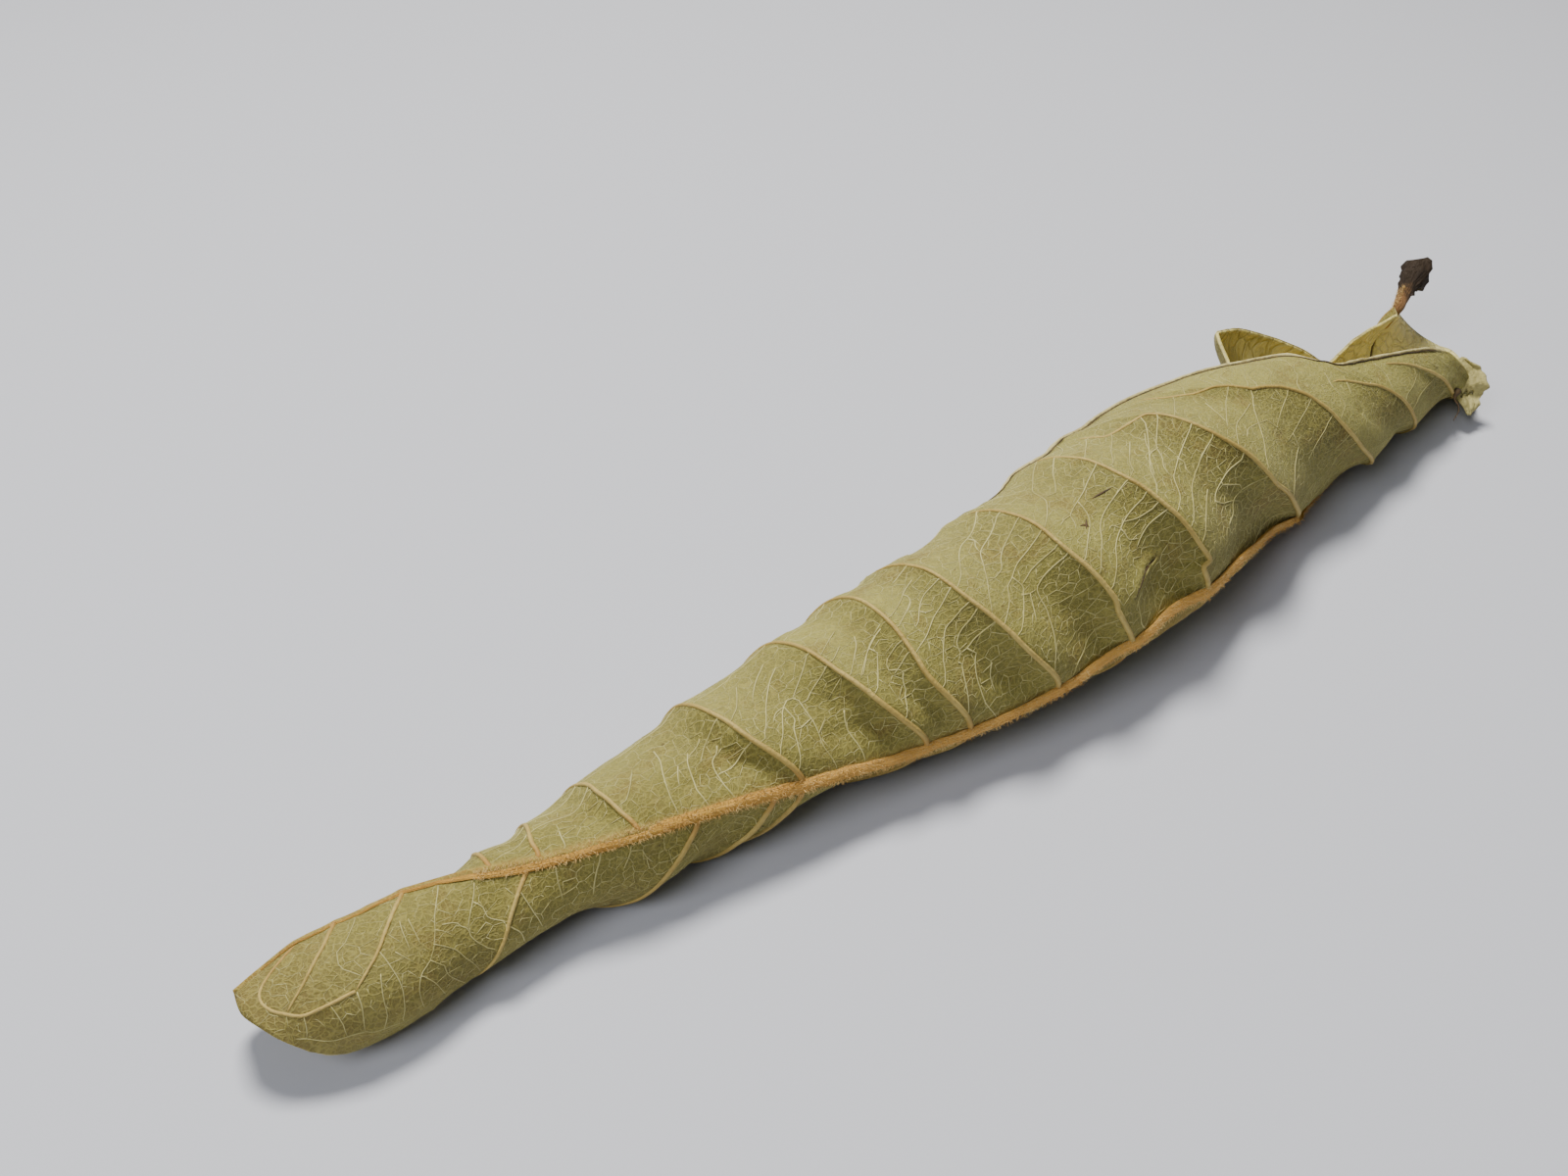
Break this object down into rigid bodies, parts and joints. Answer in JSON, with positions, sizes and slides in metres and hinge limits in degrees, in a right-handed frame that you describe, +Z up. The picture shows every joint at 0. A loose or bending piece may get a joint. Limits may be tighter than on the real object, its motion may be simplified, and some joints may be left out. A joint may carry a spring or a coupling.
{
  "type": "dried leaf",
  "caption": "Dried leaf rolled lengthwise into a loose, tapering tube, ribbed underside out, with an orange midrib winding round it, torn margins and a short dark-ended stalk.",
  "frame": {"origin": "centre of the bounding box's bottom face, on the floor under the middle of the roll", "axes": "+X along the roll from the leaf's tip to its stalk, +Y towards the back of the roll, +Z up"},
  "size_m": [0.1248, 0.0216, 0.0162],
  "materials": {
    "dried_leaf": "matt, finely downy and veined"
  },
  "bodies": {
    "root": {"leaf": "dried_leaf"}
  },
  "joints": []
}
